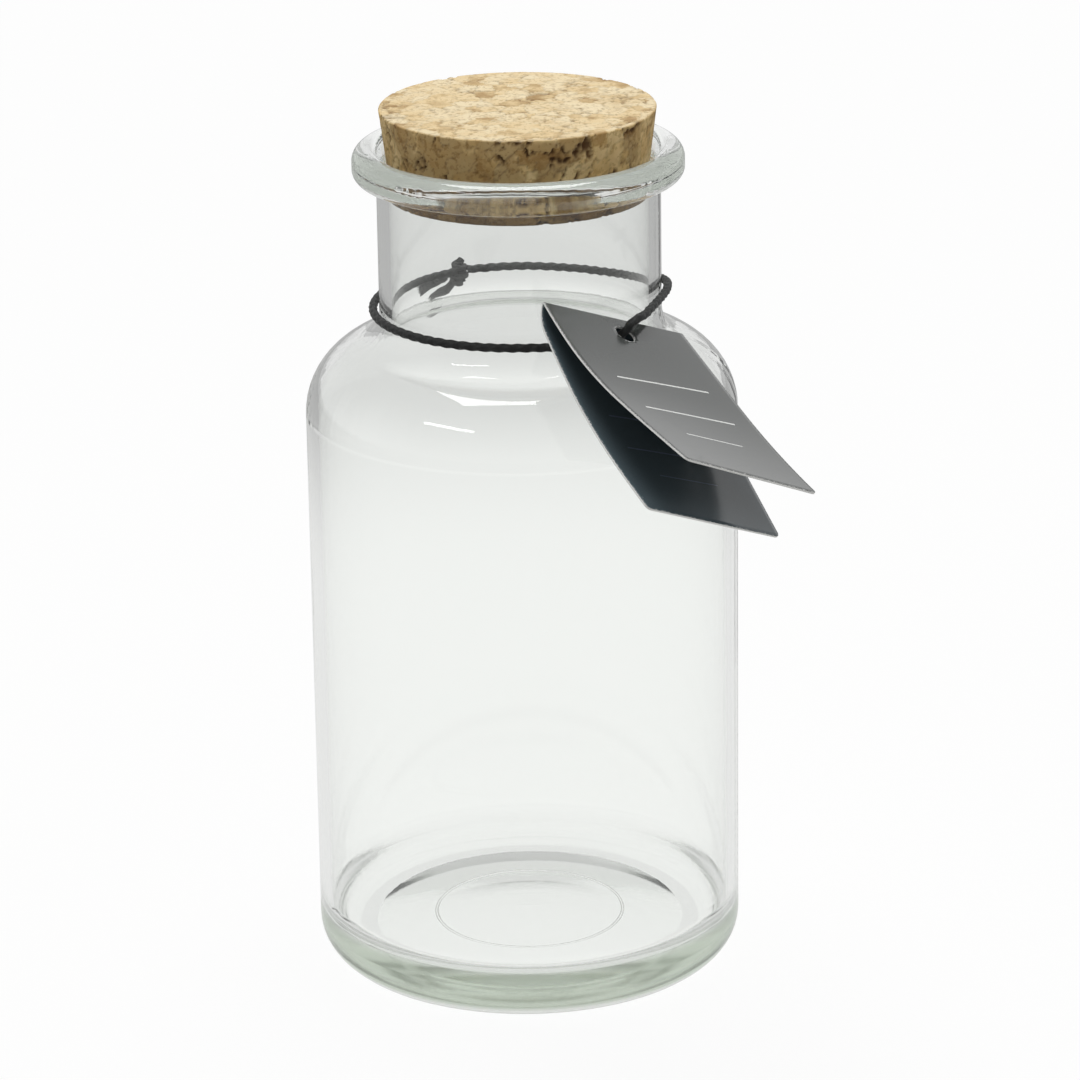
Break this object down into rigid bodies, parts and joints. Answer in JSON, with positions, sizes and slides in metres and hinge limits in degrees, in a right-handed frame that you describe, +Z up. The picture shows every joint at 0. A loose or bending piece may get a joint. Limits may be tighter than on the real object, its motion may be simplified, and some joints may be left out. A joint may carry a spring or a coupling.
{
  "type": "lidded glass canister",
  "caption": "Clear glass storage bottle with a rounded shoulder and rolled rim, a tapered cork stopper, and a folded card tag tied round its neck with dark cord.",
  "frame": {"origin": "centre of the base, on the surface that the bottle stands on", "axes": "+Z up along the bottle's axis, -Y towards the front; the tag hangs at the front right, towards -Y and +X"},
  "size_m": [0.1158, 0.1411, 0.2065],
  "materials": {
    "glass": "clear, polished, faintly green where it is thick",
    "cork": "granulated cork, sanded, matt",
    "cord": "dark twisted cord, frayed at its cut ends",
    "tag_inside": "dark blue-black card, satin",
    "tag_outside": "mid-grey card, glossy film"
  },
  "bodies": {
    "bottle": {"glass_bottle": "glass"},
    "stopper": {"cork_stopper": "cork"},
    "cord": {"neck_cord": "cord", "cord_knot": "cord", "cord_tail_long": "cord", "cord_tail_short": "cord"},
    "tag_back": {"tag_back_leaf": "tag_inside"},
    "tag_front": {"tag_front_leaf": "tag_outside"}
  },
  "joints": [
    {"name": "stopper_lift", "type": "slide", "parent": "bottle", "child": "stopper", "axis": [0, 0, 1], "range_m": [0, 0.045]},
    {"name": "cord_turn", "type": "hinge", "parent": "bottle", "child": "cord", "pos_m": [0, 0, 0.15937], "axis": [0, 0, 1], "continuous": true},
    {"name": "tag_swing", "type": "hinge", "parent": "cord", "child": "tag_back", "pos_m": [0.02103, -0.03183, 0.15971], "axis": [-0.7306, -0.5812, 0.3584], "range_deg": [0, 18]},
    {"name": "tag_open", "type": "hinge", "parent": "tag_back", "child": "tag_front", "pos_m": [0.02066, -0.02844, 0.16447], "axis": [-0.7306, -0.5812, 0.3584], "range_deg": [-6, 8]}
  ]
}
